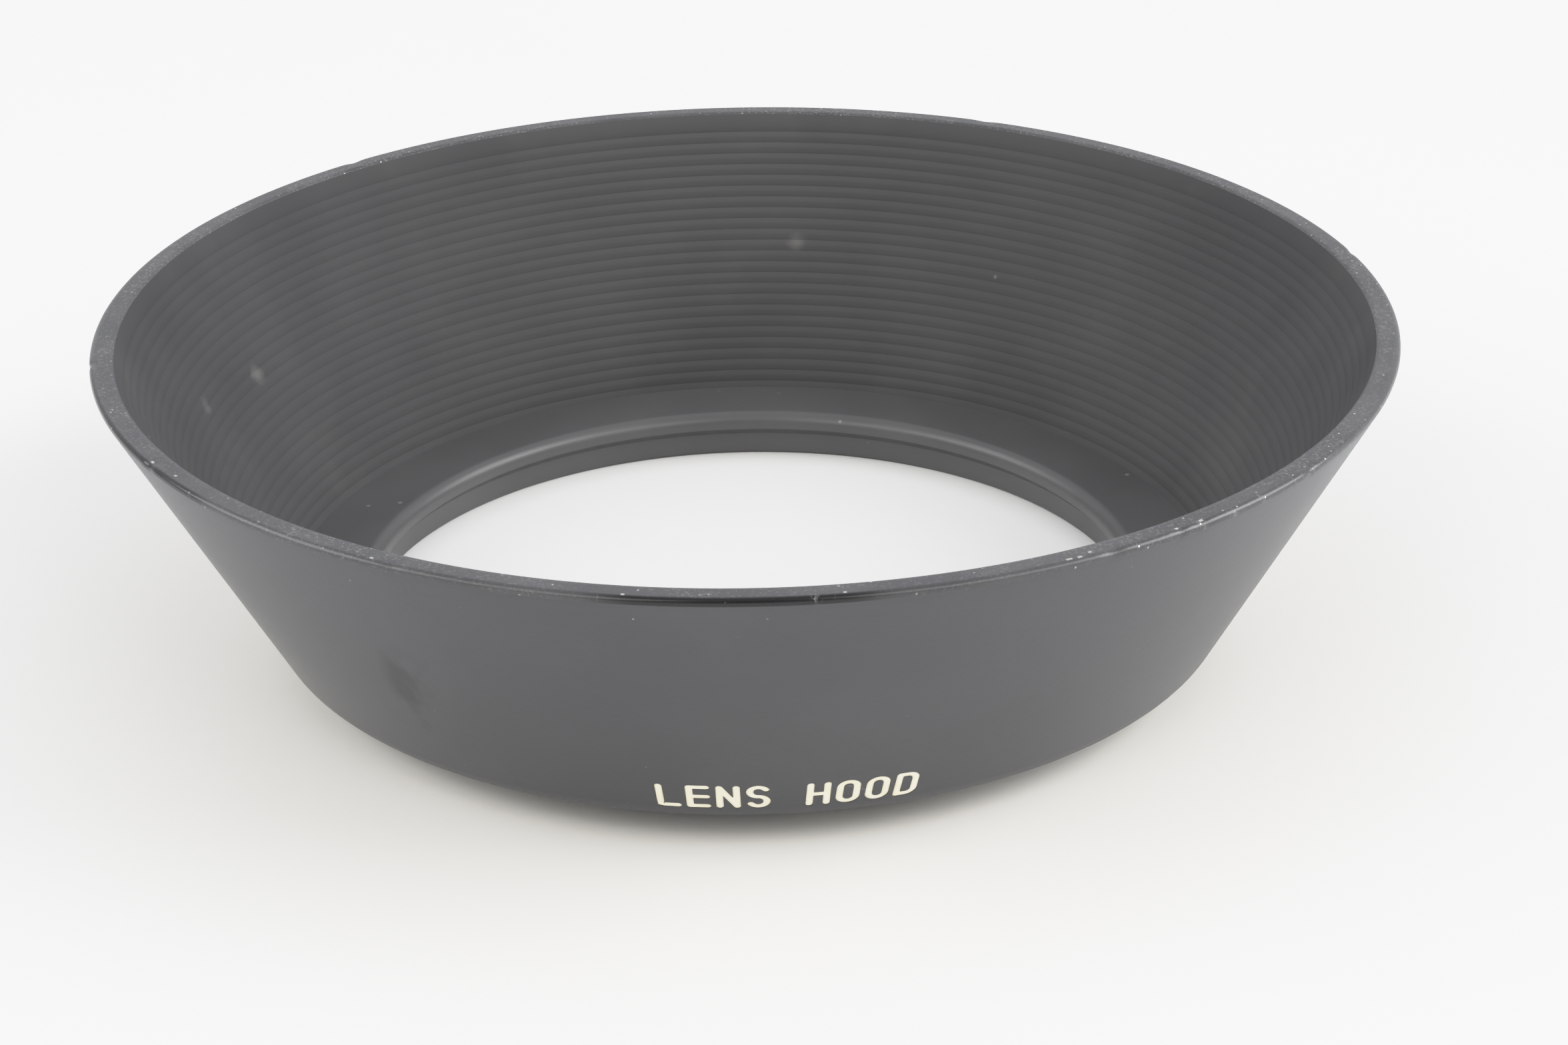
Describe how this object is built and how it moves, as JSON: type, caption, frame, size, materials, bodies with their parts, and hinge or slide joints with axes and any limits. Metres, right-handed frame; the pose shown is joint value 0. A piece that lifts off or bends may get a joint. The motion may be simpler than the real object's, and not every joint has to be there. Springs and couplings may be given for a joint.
{
  "type": "screw-in lens hood",
  "caption": "Conical metal hood for a wide-angle lens, with a grooved inner wall, a screw-in mount ring with a male filter thread and a painted engraving.",
  "frame": {"origin": "on the hood's axis, in the plane of the threaded collar's free end, which is the lowest point", "axes": "+Z along the optical axis towards the open mouth; the lettering faces -Y"},
  "size_m": [0.075, 0.075, 0.0195],
  "materials": {
    "shell_black": "satin black anodised",
    "ring_black": "semi-gloss black anodised",
    "cream_paint": "satin enamel paint"
  },
  "bodies": {
    "root": {"hood_shell": "shell_black", "mount_ring": "ring_black", "lettering_fill": "cream_paint"}
  },
  "joints": []
}
